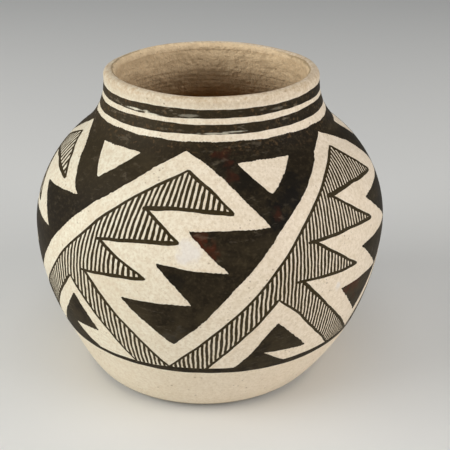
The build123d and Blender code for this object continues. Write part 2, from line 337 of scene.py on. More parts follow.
def new_group(name, inputs, output, kind="Float"):
    """Start a node group with number inputs, their defaults, and one output of a kind."""
    tree = bpy.data.node_groups.new(name, "ShaderNodeTree")
    for label, value in inputs.items():
        socket = tree.interface.new_socket(label, in_out="INPUT", socket_type="NodeSocketFloat")
        socket.default_value = value
    tree.interface.new_socket(output, in_out="OUTPUT", socket_type=f"NodeSocket{kind}")
    return tree, tree.nodes.new("NodeGroupInput").outputs, tree.nodes.new("NodeGroupOutput").inputs


def seeded_noise(tree, spot, given, detail):
    """Soft noise at the group's scale; the group's seed picks another slice of it."""
    inputs = {"Vector": spot, "W": given["Seed"], "Scale": given["Scale"], "Detail": detail,
              "Roughness": NOISE_ROUGH}
    return add_node(tree, "ShaderNodeTexNoise", inputs, noise_dimensions="4D").outputs["Fac"]


clouds, given, result = new_group(
    "clouds", {"Scale": 30.0, "Low": 0.45, "High": 0.65, "Seed": 0.0}, "Mask")
noise = seeded_noise(clouds, own_place(clouds), given, CLOUD_DETAIL)
clouds.links.new(ramp(clouds, noise, given["Low"], given["High"]), result["Mask"])

specks, given, result = new_group("specks", {"Scale": 700.0, "Size": 0.16, "Share": 0.3}, "Mask")
cells = add_node(specks, "ShaderNodeTexVoronoi",
                 {"Vector": own_place(specks), "Scale": given["Scale"]}).outputs
dots = ramp(specks, cells["Distance"], given["Size"], both(specks, given["Size"], SPECK_CORE))
lot = add_node(specks, "ShaderNodeSeparateColor", {0: cells["Color"]}).outputs[0]
chosen = math(specks, "LESS_THAN", lot, given["Share"])
specks.links.new(both(specks, dots, chosen), result["Mask"])

level_marks, given, result = new_group(
    "level marks", {"Scale": 12.0, "Stretch": 12.0, "Seed": 0.0}, "Mask")
stretch = xyz(level_marks, 1.0, 1.0, given["Stretch"])
spot = vector(level_marks, "MULTIPLY", own_place(level_marks), stretch)[0]
level_marks.links.new(seeded_noise(level_marks, spot, given, MARK_DETAIL), result["Mask"])
print("node groups:", [group.name for group in bpy.data.node_groups])

# %% Ragged spots
SPOT_NOISE = {"Scale": 260.0, "Detail": 4.0}
NOISE_MIDDLE = 0.5
RAGGED_REACH = 3.0
SPOT_EDGE = (1.0, 0.35)
patch, given, result = new_group(
    "patch", {"X": 0.0, "Y": 0.0, "Z": 0.0, "Reach": 0.005, "Ragged": 0.5, "Flat": 1.0}, "Mask")
spot = own_place(patch)
away = vector(patch, "SUBTRACT", spot, xyz(patch, given["X"], given["Y"], given["Z"]))[0]
away = vector(patch, "MULTIPLY", away, xyz(patch, 1.0, 1.0, given["Flat"]))[0]
away = vector(patch, "LENGTH", away)["Value"]
noise = add_node(patch, "ShaderNodeTexNoise", {"Vector": spot, **SPOT_NOISE}).outputs["Fac"]
ragged = both(patch, math(patch, "SUBTRACT", noise, NOISE_MIDDLE),
              both(patch, given["Ragged"], RAGGED_REACH))
share = math(patch, "ADD", math(patch, "DIVIDE", away, given["Reach"]), ragged)
patch.links.new(ramp(patch, share, *SPOT_EDGE), result["Mask"])
print("sockets of a patch:", [item.name for item in patch.interface.items_tree])


# %% Effects in a material
def place(tree, group, **values):
    """Use a node group in a material with its own values, and give its output."""
    used = add_node(tree, "ShaderNodeGroup", node_tree=group)
    for label, value in values.items():
        used.inputs[label.capitalize()].default_value = value
    return used.outputs[0]


def cloud(tree, scale, low, high, seed):
    """Mask of cloudy mottling."""
    return place(tree, clouds, scale=scale, low=low, high=high, seed=seed)


def speck(tree, scale, size, share):
    """Mask of small specks."""
    return place(tree, specks, scale=scale, size=size, share=share)


def level_mark(tree, scale, stretch, seed=0.0):
    """Mask of long level marks."""
    return place(tree, level_marks, scale=scale, stretch=stretch, seed=seed)


def patch_at(tree, angle, height, reach, ragged=0.5, flat=1.0):
    """Mask of a ragged spot on the outside; flat makes it a streak.

    Its place is an angle from the front in degrees and a height in mm.
    """
    radius, _ = wall_at(distance_at(height))
    turn = np.radians(angle)
    return place(tree, patch, x=radius * np.sin(turn) * MM, y=-radius * np.cos(turn) * MM,
                 z=height * MM, reach=reach * MM, ragged=ragged, flat=flat)


print("spots on the belly lie", wall_at(distance_at(BELLY_HEIGHT))[0].round(1), "mm from the axis")

# %% [markdown]
# ## Body clay
# The clay shows inside the mouth: tan, scraped level with a piece of gourd, lumpy, and darker towards
# the bottom, where the fire smoked it and where painted shade stands for the dim depth of the jar.
# A single noise would look like stone, so level marks and clouds of three sizes are laid over each
# other. Colour and relief are groups of their own, because the slip thins out to the same clay just
# inside the lip.

# %% Stains over a colour
MIX_FIRST, MIX_SECOND, MIX_RESULT = 6, 7, 2


def mixed(tree, mask, first, second):
    """Colour between two colours by a mask."""
    colours = {0: mask, MIX_FIRST: first, MIX_SECOND: second}
    return add_node(tree, "ShaderNodeMix", colours, data_type="RGBA").outputs[MIX_RESULT]


def stained(tree, colour, mask, strength, stain):
    """A colour with a stain on it where a mask holds."""
    return mixed(tree, both(tree, mask, strength), colour, stain)


print("a mix takes its two colours on sockets", MIX_FIRST, "and", MIX_SECOND)

# %% Clay colour
TAN = (0.88, 0.675, 0.425)
TAN_DARK = (0.60, 0.445, 0.27)
SMOKE_AND_DEEP_SHADE = (0.48, 0.25, 0.05)
FOOT_GRIME_AND_SHADOW = (0.34, 0.29, 0.21)
SCRAPER = (16.0, 11.0)
SCRAPED = (0.40, 0.66)
SCRAPED_SHARE = 0.75
# Each cloud: scale, low, high, seed, strength of the stain
CLAY_CLOUDS = ((45.0, 0.42, 0.66, 0.0, 0.5), (260.0, 0.42, 0.66, 2.0, 0.6),
               (800.0, 0.42, 0.66, 3.0, 0.5))
SMOKE_AND_SHADE_HEIGHTS = (108.0, 68.0)
SMOKE_AND_SHADE_SHARE = 0.85
FOOT_GRIME_AND_SHADOW_HEIGHTS = (4.0, 3.2)


def place_on_jar(tree):
    """Sideways place, height and distance from the axis of a point of the jar, in mm."""
    spot = vector(tree, "MULTIPLY", own_place(tree), (1 / MM, 1 / MM, 1 / MM))[0]
    parts = add_node(tree, "ShaderNodeSeparateXYZ", {0: spot}).outputs
    flat = vector(tree, "MULTIPLY", spot, (1.0, 1.0, 0.0))[0]
    return parts["X"], parts["Z"], vector(tree, "LENGTH", flat)["Value"]


bare_clay, _, result = new_group("bare clay", {}, "Color", "Color")
_, height, _ = place_on_jar(bare_clay)
scraped_marks = ramp(bare_clay, level_mark(bare_clay, *SCRAPER), *SCRAPED)
colour = stained(bare_clay, TAN, scraped_marks, SCRAPED_SHARE, TAN_DARK)
for *form, strength in CLAY_CLOUDS:
    colour = stained(bare_clay, colour, cloud(bare_clay, *form), strength, TAN_DARK)
# Darker towards the bottom inside: smoke from the firing, and painted shade deep down in the jar.
colour = stained(bare_clay, colour, ramp(bare_clay, height, *SMOKE_AND_SHADE_HEIGHTS), SMOKE_AND_SHADE_SHARE, SMOKE_AND_DEEP_SHADE)
# Dark at the foot and underneath: grime, and painted contact shadow where the heel meets the floor.
colour = mixed(bare_clay, ramp(bare_clay, height, *FOOT_GRIME_AND_SHADOW_HEIGHTS), colour, FOOT_GRIME_AND_SHADOW)
bare_clay.links.new(colour, result["Color"])
print("bare clay:", len(bare_clay.nodes), "nodes")

# %% Clay relief and finish
LUMPS = (130.0, 0.2, 0.8, 0.0)
SMALL_LUMPS = (500.0, 0.2, 0.8, 0.0)
SMALL_LUMPS_SHARE = 0.4
SCRAPES_SHARE = 0.7
RELIEF = 0.0011
RELIEF_MIDDLE = 1.05
BUMP = 0.8


def new_finish(name, roughness, specular):
    """A material with its shader, ready for colour, roughness and bump."""
    material = bpy.data.materials.new(name)
    material.use_nodes = True
    shader = material.node_tree.nodes["Principled BSDF"]
    shader.inputs["Roughness"].default_value = roughness
    shader.inputs["Specular IOR Level"].default_value = specular
    return material, material.node_tree, shader


def set_bump(tree, shader, height, strength, depth):
    """Send a height mask to the shader's normal; depth is the bump's height in metres."""
    bump = add_node(tree, "ShaderNodeBump", {"Height": height, "Strength": strength, "Distance": depth})
    tree.links.new(bump.outputs["Normal"], shader.inputs["Normal"])


clay_relief, _, result = new_group("clay relief", {}, "Height")
lumps = math(clay_relief, "ADD", cloud(clay_relief, *LUMPS),
             both(clay_relief, cloud(clay_relief, *SMALL_LUMPS), SMALL_LUMPS_SHARE))
marks = both(clay_relief, level_mark(clay_relief, *SCRAPER), SCRAPES_SHARE)
relief = math(clay_relief, "SUBTRACT", math(clay_relief, "ADD", marks, lumps), RELIEF_MIDDLE)
clay_relief.links.new(relief, result["Height"])

body_clay, tree, shader = new_finish("body_clay", roughness=0.85, specular=0.2)
tree.links.new(place(tree, bare_clay), shader.inputs["Base Color"])
set_bump(tree, shader, place(tree, clay_relief), BUMP, RELIEF)
print("finish:", body_clay.name)

# %% [markdown]
# ## White slip
# The slip is fine white clay, rubbed with a stone: creamy on one side and pinker on the other, a
# little blotchy and specked, duller under the base line, browned by hands on the lip, and chalky
# where it was rubbed, with one small painted glint. One even white would look like plaster. So
# stains are laid on it one by one, each where the jar has it, and just inside the lip the slip gives
# way to bare clay.

# %% Colour of the slip
CREAM = (0.85, 0.80, 0.635)
BLUSH = (0.87, 0.75, 0.605)
WARM = (0.66, 0.54, 0.38)
DULL = (0.70, 0.58, 0.43)
LIP_TAN = (0.57, 0.43, 0.275)
BLUSH_SIDES = (-45.0, 30.0)
# Each cloud as in the clay; each spot: angle from the front in degrees, height and reach in mm
SLIP_CLOUDS = ((22.0, 0.42, 0.72, 0.0, 0.28), (150.0, 0.40, 0.70, 3.0, 0.15),
               (520.0, 0.42, 0.66, 8.0, 0.46), (1000.0, 0.42, 0.64, 6.0, 0.60))
YELLOWED = ((-4.0, 57.0, 6.0), (-30.0, 62.0, 7.0), (24.0, 62.0, 6.0), (10.0, 45.0, 7.0),
            (-38.0, 84.0, 6.0))
YELLOWED_SHARE = 0.28
VERY_RAGGED = 0.9
DULL_HEIGHTS = (BASE_LINE[1], BASE_LINE[0] - 3.0)
DULL_SHARE = 0.35
LIP_HEIGHTS = (BAND_UPPER[1] - 0.5, CREST - 1.0)
LIP_CLOUDS = ((330.0, 0.40, 0.60, 12.0, 0.35), (1000.0, 0.44, 0.60, 14.0, 0.5))
LIP_ALL_OVER = 0.22


def slip_colour(tree, side, height):
    """Colour of the slip on the outside and on the lip."""
    colour = mixed(tree, ramp(tree, side, *BLUSH_SIDES), CREAM, BLUSH)
    for *form, strength in SLIP_CLOUDS:
        colour = stained(tree, colour, cloud(tree, *form), strength, WARM)
    for spot in YELLOWED:
        colour = stained(tree, colour, patch_at(tree, *spot, VERY_RAGGED), YELLOWED_SHARE, WARM)
    colour = stained(tree, colour, ramp(tree, height, *DULL_HEIGHTS), DULL_SHARE, DULL)
    blotches, spots = [both(tree, cloud(tree, *form), strength) for *form, strength in LIP_CLOUDS]
    handled = math(tree, "ADD", math(tree, "ADD", blotches, spots), LIP_ALL_OVER)
    return stained(tree, colour, ramp(tree, height, *LIP_HEIGHTS), handled, LIP_TAN)


print("slip:", len(SLIP_CLOUDS), "layers of clouds and", len(YELLOWED), "yellowed spots")

# %% Edge of the slip inside the mouth
LIP_EDGE_DARK = (0.26, 0.18, 0.09)
EDGE_CLOUD = (420.0, 0.3, 0.7, 16.0)
EDGE_WANDER = 0.5
MOUTH_INWARD = (0.45, 0.85)
MOUTH_HEIGHTS = (108.0, 112.0)
DARK_EDGE_INWARD = (1.5, 0.95)
DARK_EDGE_SIDES = (24.0, 34.0)
DARK_EDGE_SHARE = 0.7


def mouth_masks(tree, side, height, reach):
    """Masks of the bare clay inside an uneven edge, and of a dark line along that edge at the sides."""
    uneven = both(tree, cloud(tree, *EDGE_CLOUD), EDGE_WANDER)
    inward = math(tree, "SUBTRACT", LIP_RADIUS, math(tree, "ADD", reach, uneven))
    mouth = both(tree, ramp(tree, inward, *MOUTH_INWARD), ramp(tree, height, *MOUTH_HEIGHTS))
    line = both(tree, mouth, ramp(tree, inward, *DARK_EDGE_INWARD))
    return mouth, both(tree, line, ramp(tree, math(tree, "ABSOLUTE", side), *DARK_EDGE_SIDES))


print("the slip fades out", [round(LIP_RADIUS - inward, 2) for inward in MOUTH_INWARD], "mm from the axis")

# %% Slip finish
SPECK = (0.24, 0.16, 0.09)
CHALK_AND_GLINT = (0.78, 0.75, 0.74)
# Specks: scale, size, share of the cells that have one, strength of the stain
SLIP_SPECKS = ((420.0, 0.22, 0.06, 0.45), (1300.0, 0.30, 0.22, 0.30))
DIRT_SPECKS = (650.0, 0.28, 0.35)
DIRT_CLOUD = (55.0, 0.50, 0.62, 23.0)
DIRT_SHARE = 0.6
# Chalky rubbed spots; the small one at 42 degrees is a painted glint.
CHALK_RUBS_AND_GLINT = ((-5.5, 76.0, 5.5), (42.0, 55.0, 2.2))
CHALK_AND_GLINT_SHARE = 0.5
POLISH_CLOUD = (90.0, 0.3, 0.7, 5.0)
POLISH = (0.42, 0.60)
GRAIN_CLOUD = (900.0, 0.2, 0.8, 1.0)
GRAIN_MARKS = (60.0, 6.0)
PITS = (420.0, 0.25, 0.12)
GRAIN_SHARE = 0.045


def spread(tree, mask, low, high):
    """Spread a mask from 0 to 1 on a range, by the same easy step."""
    return ramp(tree, mask, 0.0, 1.0, low, high)


white_slip, tree, shader = new_finish("white_slip", roughness=0.5, specular=0.3)
side, height, reach = place_on_jar(tree)
mouth, dark_edge_line = mouth_masks(tree, side, height, reach)
colour = mixed(tree, mouth, slip_colour(tree, side, height), place(tree, bare_clay))
# A dark line along the slip's edge inside the mouth, at the sides.
colour = stained(tree, colour, dark_edge_line, DARK_EDGE_SHARE, LIP_EDGE_DARK)
for *form, strength in SLIP_SPECKS:
    colour = stained(tree, colour, speck(tree, *form), strength, SPECK)
dirt = both(tree, speck(tree, *DIRT_SPECKS), cloud(tree, *DIRT_CLOUD))
colour = stained(tree, colour, dirt, DIRT_SHARE, SPECK)
# Chalky rubs, and one painted glint.
for spot in CHALK_RUBS_AND_GLINT:
    colour = stained(tree, colour, patch_at(tree, *spot), CHALK_AND_GLINT_SHARE, CHALK_AND_GLINT)
tree.links.new(colour, shader.inputs["Base Color"])
tree.links.new(spread(tree, cloud(tree, *POLISH_CLOUD), *POLISH), shader.inputs["Roughness"])
grain = math(tree, "ADD", cloud(tree, *GRAIN_CLOUD), level_mark(tree, *GRAIN_MARKS))
grain = both(tree, math(tree, "SUBTRACT", grain, speck(tree, *PITS)), GRAIN_SHARE)
mouth_relief = both(tree, mouth, place(tree, clay_relief))
set_bump(tree, shader, math(tree, "ADD", grain, mouth_relief), BUMP, RELIEF)
print("finish:", white_slip.name, "with", len(tree.nodes), "nodes")

# %% [markdown]
# ## Black paint
# The paint is ground mineral in plant juice: brown-black, blacker where a stroke was laid twice,
# reddish or greenish where it lies thin, a little shiny where it lies thick, and rubbed off in flecks.
# A flat black would hide all of that. The broad changes are clouds and streaks, and the spots that
# show on this jar have a place of their own. Three finishes share the recipe: solid fields, rubbed
# neck bands and thin brush lines.

# %% Colour of the paint
BROWN_BLACK = (0.0128, 0.0083, 0.0031)
THICK = (0.003, 0.002, 0.0008)
THIN_RED = (0.056, 0.013, 0.004)
THIN_BROWN = (0.032, 0.0215, 0.0062)
THIN_GREEN = (0.056, 0.041, 0.020)
RUST = (0.13, 0.075, 0.032)
STREAKED = (0.50, 0.72)
STREAK_SHARE = 0.5
RED_RAGGED = 1.0
RED_LEAST = 0.5
MISSED_RAGGED = 0.8
# Clouds and spots as in the slip, with a strength; rubs: sides, heights, strength;
# age, and a painted sheen low down: heights, cloud, strength, stain; missed strokes: angle, height,
# reach, flatness, strength
PAINT_CLOUDS = ((55.0, 0.68, 0.80, 7.0, 0.5, THIN_RED), (300.0, 0.48, 0.70, 13.0, 0.3, THIN_GREEN),
                (850.0, 0.48, 0.70, 17.0, 0.55, THIN_GREEN))
RUBBED = (((15.0, -40.0), (80.0, 95.0), 0.42), ((35.0, 5.0), (104.0, 108.0), 0.28))
THICK_PATCHES = ((31.0, 94.0, 6.0, 0.7), (27.0, 89.0, 6.0, 0.8), (22.0, 85.0, 6.0, 0.8),
                 (12.0, 96.0, 6.0, 0.7), (6.0, 101.0, 5.0, 0.6), (-9.0, 65.0, 4.5, 0.7),
                 (-10.0, 40.0, 5.0, 0.6))
RED_PATCHES = ((6.5, 102.0, 4.0, 0.6), (9.0, 97.0, 3.0, 0.5), (-1.9, 80.2, 4.0, 1.1),
               (0.8, 77.0, 4.0, 0.9), (48.0, 52.0, 5.0, 2.0), (51.0, 50.5, 6.0, 2.0),
               (22.0, 86.0, 2.5, 0.6))
AGED_AND_LOW_SHEEN = (((FIELD_TOP - 6.0, FIELD_TOP - 1.0), (700.0, 0.53, 0.66, 19.0), 0.55, RUST),
        ((74.0, 50.0), (140.0, 0.36, 0.62, 21.0), 0.5, THIN_GREEN))
MISSED = ((-38.0, 114.2, 6.0, 10.0, 0.85), (-29.0, 113.6, 5.0, 12.0, 0.85),
          (2.0, 108.9, 7.0, 18.0, 0.45), (12.0, 109.3, 5.0, 16.0, 0.45),
          (34.0, 115.3, 4.0, 7.0, 0.10), (-10.0, 114.5, 5.0, 8.0, 0.20))


def paint_colour(tree, full, wear, streaks, thin, flecks):
    """Colour of the paint: full where it covers well, then each stain over the one before."""
    side, height, _ = place_on_jar(tree)
    colour = stained(tree, full, ramp(tree, streaks, *STREAKED), STREAK_SHARE, THIN_GREEN)
    for *form, strength, stain in PAINT_CLOUDS:
        colour = stained(tree, colour, cloud(tree, *form), strength, stain)
    for sides, heights, strength in RUBBED:
        rub = both(tree, ramp(tree, side, *sides), ramp(tree, height, *heights))
        colour = stained(tree, colour, rub, strength, THIN_GREEN)
    for *spot, strength in THICK_PATCHES:
        colour = stained(tree, colour, patch_at(tree, *spot, VERY_RAGGED), strength, THICK)
    for *spot, strength in RED_PATCHES:
        red = both(tree, patch_at(tree, *spot, RED_RAGGED), spread(tree, thin, RED_LEAST, 1.0))
        colour = stained(tree, colour, red, strength, THIN_RED)
    colour = stained(tree, colour, flecks, wear, WARM)
    # Aged paint by the top of the field, and paler greenish clouds low down that are partly a painted
    # sheen.
    for heights, form, strength, stain in AGED_AND_LOW_SHEEN:
        age_and_sheen = both(tree, ramp(tree, height, *heights), cloud(tree, *form))
        colour = stained(tree, colour, age_and_sheen, strength, stain)
    for *spot, flat, strength in MISSED:
        colour = stained(tree, colour, patch_at(tree, *spot, MISSED_RAGGED, flat), strength, CREAM)
    return colour


print("painted spots:", len(THICK_PATCHES), "thick,", len(RED_PATCHES), "red,", len(MISSED), "missed")

# %% Paint finishes
PAINT_STREAKS = (30.0, 4.0, 2.0)
THIN_CLOUD = (330.0, 0.40, 0.60, 15.0)
FLECK_MARKS = (220.0, 3.0, 4.0)
FLECKED = (0.55, 0.68)
FLECK_CLOUD = (50.0, 0.42, 0.60, 9.0)
SHINE_CLOUD = (60.0, 0.62, 0.72, 11.0)
SHINY_PATCHES = ((-10.0, 42.0, 7.0), (2.0, 38.0, 5.0), (-12.0, 60.0, 5.0))
SHINE_LEAST = 0.4
DULL_TO_SHINY = (0.60, 0.45)
PAINT_SPECULAR = 0.10
COAT = 0.25
COAT_ROUGHNESS = 0.38
PAINT_BUMP = 0.4
PAINT_RELIEF = 0.00015


def paint_finish(name, wear, full):
    """Brushed mineral paint; wear is how much has rubbed off in flecks."""
    material, tree, shader = new_finish(name, DULL_TO_SHINY[0], PAINT_SPECULAR)
    streaks = level_mark(tree, *PAINT_STREAKS)
    thin = cloud(tree, *THIN_CLOUD)
    flecks = both(tree, ramp(tree, level_mark(tree, *FLECK_MARKS), *FLECKED), cloud(tree, *FLECK_CLOUD))
    colour = paint_colour(tree, full, wear, streaks, thin, flecks)
    tree.links.new(colour, shader.inputs["Base Color"])
    shine = cloud(tree, *SHINE_CLOUD)
    for spot in SHINY_PATCHES:
        shine = math(tree, "MAXIMUM", shine, patch_at(tree, *spot, VERY_RAGGED))
    shine = both(tree, shine, spread(tree, thin, SHINE_LEAST, 1.0))
    tree.links.new(spread(tree, shine, *DULL_TO_SHINY), shader.inputs["Roughness"])
    tree.links.new(spread(tree, shine, 0.0, COAT), shader.inputs["Coat Weight"])
    shader.inputs["Coat Roughness"].default_value = COAT_ROUGHNESS
    set_bump(tree, shader, math(tree, "SUBTRACT", streaks, flecks), PAINT_BUMP, PAINT_RELIEF)
    return material


black_paint = paint_finish("black_paint", wear=0.08, full=BROWN_BLACK)
rubbed_paint = paint_finish("rubbed_black_paint", wear=0.22, full=BROWN_BLACK)
line_paint = paint_finish("brush_line_paint", wear=0.05, full=THIN_BROWN)
print("finishes:", [material.name for material in (black_paint, rubbed_paint, line_paint)])

# %% [markdown]
# ## Slip coat
# The slip is a thin skin over the outside and the lip. The clay alone, painted white, would look the
# same, but then the coat would be no piece of its own. A ring-shaped piece is a closed line carried
# round the axis: here the line runs up the outside, over the lip and back down against the clay.

# %% Slip coat
TURNS = 400
around = np.linspace(0, 2 * np.pi, TURNS, endpoint=False)[:, None]
OUTER_STEPS = np.linspace(0, WALL_LENGTH, 118)
SLIP_INSIDE = 2.6


def lip_curve(reach, count):
    """Half circle over the lip, from the outside to the inside: centre + reach * (cos, sin)."""
    turn = np.linspace(0, np.pi, count)
    return LIP_RADIUS + reach * np.cos(turn), LIP_HEIGHT + reach * np.sin(turn)


def joined(*stretches):
    """Put stretches of (radius, height) one after the other."""
    return [np.concatenate(parts) for parts in zip(*stretches)]


over_lip, under_lip = lip_curve(WALL / 2 + SLIP, 16), lip_curve(WALL / 2, 12)
slip_end = UPRIGHT_START - (SLIP_INSIDE - (CREST - NECK_HEIGHT))
edge_ends = zip(wall_at(slip_end, INSIDE + SLIP), wall_at(slip_end, INSIDE - SLIP))
inner_edge = [np.array(ends) for ends in edge_ends]
slip_line = joined(wall_at(OUTER_STEPS), over_lip, inner_edge, [line[::-1] for line in under_lip],
                   wall_at(OUTER_STEPS[::-3], SLIP))
slip_faces = quads(TURNS, len(slip_line[0]), True, True)
make_piece("slip_coat", hand_built(around, *slip_line), [slip_faces], white_slip, "white_slip")

# %% [markdown]
# ## Coils of clay
# The wall is a pile of clay ropes, pinched together and scraped. One smooth shell would be simpler,
# but the inside of the jar shows the ropes as low ridges. So each coil is its own ring: its line runs
# up the outside, across the slanted joint and down the inside, where the scraper left level marks.

# %% Scraped inside of the wall
BASE_RISE = 10.0
RIM_COIL = 7.0
WALL_COILS = 7
COIL = (WALL_LENGTH - BASE_RISE - RIM_COIL) / (WALL_COILS + 1)
RIDGE = 0.22
SCRAPE = 0.07
# Level marks: rate up the wall, wander, and the count and phase of the wander round the jar
SCRAPE_WAVES = ((2.9, 1.5, 3, 0.4), (5.3, 2.0, 2, 0.0))


def scraped(distance):
    """Depth of the inside of the wall: a cosine ridge on each coil, and level sines that wander."""
    fade = np.clip((UPRIGHT_START - distance) / COIL, 0, 1)
    ridge = RIDGE * np.cos(2 * np.pi * (distance - BASE_RISE) / COIL)
    marks = sum(np.sin(distance * rate + wander * np.sin(count * around + phase))
                for rate, wander, count, phase in SCRAPE_WAVES)
    return INSIDE + fade * (ridge + SCRAPE * marks)


def inside_at(distance):
    """Radius and height of the scraped inside of the wall, all round the jar."""
    return wall_at(distance + 0 * around, scraped(distance))


print("each coil covers", round(COIL, 2), "mm of the wall")

# %% Coils
LAP = 4.0


def all_round(line):
    """A line that is the same all round the jar."""
    return [np.broadcast_to(part, (TURNS, len(part))) for part in line]


def ring_of(name, stretches):
    """Carry a closed line round the axis as one ring of clay."""
    radius, height = [np.concatenate(parts, axis=1) for parts in zip(*stretches)]
    faces = quads(TURNS, radius.shape[1], True, True)
    make_piece(name, hand_built(around, radius, height), [faces], body_clay, "clay")


coil_names = [f"wall_coil_{count + 1}" for count in range(WALL_COILS)] + ["neck_coil"]
for count, name in enumerate(coil_names):
    low = BASE_RISE + count * COIL
    outer = np.linspace(low + LAP / 2, low + COIL + LAP / 2, 10)
    inner = np.linspace(low + COIL - LAP / 2, low - LAP / 2, 24)
    ring_of(name, [all_round(wall_at(outer, SLIP)), inside_at(inner)])
rim_low = WALL_LENGTH - RIM_COIL
rim_outer = np.linspace(rim_low + LAP / 2, WALL_LENGTH, 8)
rim_inner = np.linspace(UPRIGHT_START, rim_low - LAP / 2, 20)
ring_of("rim_coil", [all_round(wall_at(rim_outer, SLIP)), all_round(under_lip), inside_at(rim_inner)])

# %% [markdown]
# ## Moulded base
# The base is a pancake of clay pressed into a shallow bowl, with a foot ring and a dimple underneath.
# It could be a filled disc under the wall, but the joint with the first coil slants through the wall.
# So it is one line carried round, from under the dimple to the inside floor, closed on the axis by
# two fans of triangles.

# %% Moulded base
FOOT_WIDTH = 8.0
DIMPLE = 1.5
DIMPLE_RADIUS = HEEL_CENTRE - FOOT_WIDTH
HEEL_END = -0.05
FLOOR_WAVES = ((0.12, 0.9, 0.0), (0.08, 2.1, 1.0))
under = np.linspace(0, DIMPLE_RADIUS, 14)[1:]
heel = np.linspace(-HEEL_ARC * (np.pi / 2 - HEEL_TURN), HEEL_END, 12)
floor_radius = np.linspace(HEEL_CENTRE, 0, 26)[1:-1]
floor_height = INSIDE + sum(size * np.sin(floor_radius * rate + phase)
                            for size, rate, phase in FLOOR_WAVES)
base_stretches = [
    all_round((under, DIMPLE * (1 - (under / DIMPLE_RADIUS) ** 2))),
    all_round(wall_at(heel)),
    all_round(wall_at(np.linspace(0, BASE_RISE + LAP / 2, 8), SLIP)),
    inside_at(np.linspace(BASE_RISE - LAP / 2, 0, 14)),
    all_round(wall_at(heel[::-1], INSIDE)),
    all_round((floor_radius, floor_height)),
]
radius, height = [np.concatenate(parts, axis=1) for parts in zip(*base_stretches)]
columns = radius.shape[1]
poles = hand_built(0.0, np.zeros(2), np.array([DIMPLE, INSIDE]))
base_points = np.concatenate([hand_built(around, radius, height).reshape(-1, 3), poles])
first = np.arange(TURNS) * columns
second = np.roll(first, -1)
pole = np.full(TURNS, TURNS * columns)
bottom_fan = np.stack([pole, second, first], -1)
top_fan = np.stack([pole + 1, first + columns - 1, second + columns - 1], -1)
base_faces = [quads(TURNS, columns, True, False), bottom_fan, top_fan]
make_piece("base_bowl", base_points, base_faces, body_clay, "clay")

# %% [markdown]
# ## The painted design
# The design is drawn once on a flat sheet, and the sheet is laid round the jar five times. A picture
# could be wrapped round the jar instead, but real films of paint have an edge that catches the light.
# Each time the hand is a little different: the repeats are narrower on one side and the drawing
# drifts by a fraction of a millimetre. One function does that, from the sheet to the wall.

# %% From the sheet to the wall
REPEATS = 5
FIRST_PEAK = 16.5
NARROWEST = -25.0
EASE = 5.2
SHEET_WIDTH = 66.0
SHEET_HEIGHT = 79.4
# Waves of the hand: size, rate across, rate up, phase
DRIFTS = ((0.07, 0.21, 0.05, 0.0), (0.07, -0.09, 0.33, 1.7), (0.08, 0.55, 0.27, 3.9),
          (0.06, 0.9, -0.8, 5.1), (0.03, 1.9, 1.3, 0.6), (0.025, -2.3, 2.9, 2.2))
DRIFT_STEPS = (2.3, 1.1)
DRIFT_TURN = 1.7


def by_hand(repeat, across, up):
    """Drift of the hand on the sheet: long sine waves from the arm and short ones from the brush."""
    step_x, step_y = (step * repeat for step in DRIFT_STEPS)
    dx = sum(size * np.sin(a * across + b * up + phase + step_x) for size, a, b, phase in DRIFTS)
    dy = sum(size * np.cos(b * across - a * up + phase * DRIFT_TURN + step_y)
             for size, a, b, phase in DRIFTS)
    return across + dx, up + dy


def on_jar(repeat, across, up, lift):
    """Place of a point of the sheet on the jar, lifted off the slip by a height in mm.

    The angle is the even spacing of the repeats minus an easing sine; the height goes straight up
    the field.
    """
    across, up = by_hand(repeat, across, up)
    turn = np.radians(FIRST_PEAK + 360 / REPEATS * (repeat + across / SHEET_WIDTH))
    angle = np.radians(NARROWEST - EASE * np.sin(turn)) + turn
    distance = distance_at(FIELD_BOTTOM + (FIELD_TOP - FIELD_BOTTOM) * up / SHEET_HEIGHT)
    return hand_built(angle, *wall_at(distance, -lift))


print("the first sheet's lower corner lies at", on_jar(0, 0.0, 0.0, 0.0).round(1), "mm")

# %% [markdown]
# ## Corners on the sheet
# The painter sets the corners by eye and joins them, so the drawing is kept as lists of corners,
# across and up in mm, named for what they bound. A drawing program could hold them too, but here the
# same corners serve the solid fields, the outlines and the hatching. Some corners land elsewhere on a
# repeat, and a short list of moves gives those.

# %% Corners of the fields
PEAK = (0, 76.7)
NEXT_PEAK = (SHEET_WIDTH, 76.7)
WHITE_BAND = [(-0.5, 12.9), (10, 24.6), (20, 39.5), (30, 52.7), (36, 58.5), (46, 66), (56, 72.3)]
RIGHT_SLOPE = [(10, 72.3), (14.7, 69.8), (20, 65.1), (25, 59.9), (28.8, 55.6)]
SOLID_TEETH = [(4.8, 54.9), (16.3, 42.1), (-4.3, 44.1), (6.2, 30.3), (-15, 29.5)]
SHOULDER_WINDOW = [(22.4, 74.5), (45.6, 74.5), (32.5, 65.3)]
HATCHED_SLOPE = [(1.7, 71.4), (10, 67), (17.7, 60.3)]
TOOTH_SIDES = [
    [(17.7, 60.3), (0, 61.6), (-10.4, 60.6)],
    [(-10.4, 60.6), (1.5, 51.6)],
    [(1.5, 51.6), (-11, 50.7), (-24.2, 48.3)],
    [(-24.2, 48.3), (-7.5, 38.5)],
    [(-7.5, 38.5), (-28.5, 35.6)],
]
STRIP_DOWN = [(-20, 24.6), (-10, 12), (-3, 1.8)]
STRIP_UNDER_RIGHT = [(-13.6, 0), (-20, 10.5), (-30, 24.3), (-35.2, 30.6)]
STRIP_UNDER_LEFT = [(-35.2, 30.6), (-41, 22.2), (-51, 7.5), (-56.6, 0)]
STRIP_UP = [(-69, 1.8), (-56, 15), (-46, 27.4), (-36, 42.3), (-25.5, 54.8), (-15, 63.5), (-5, 68.8),
            (1.7, 71.4)]
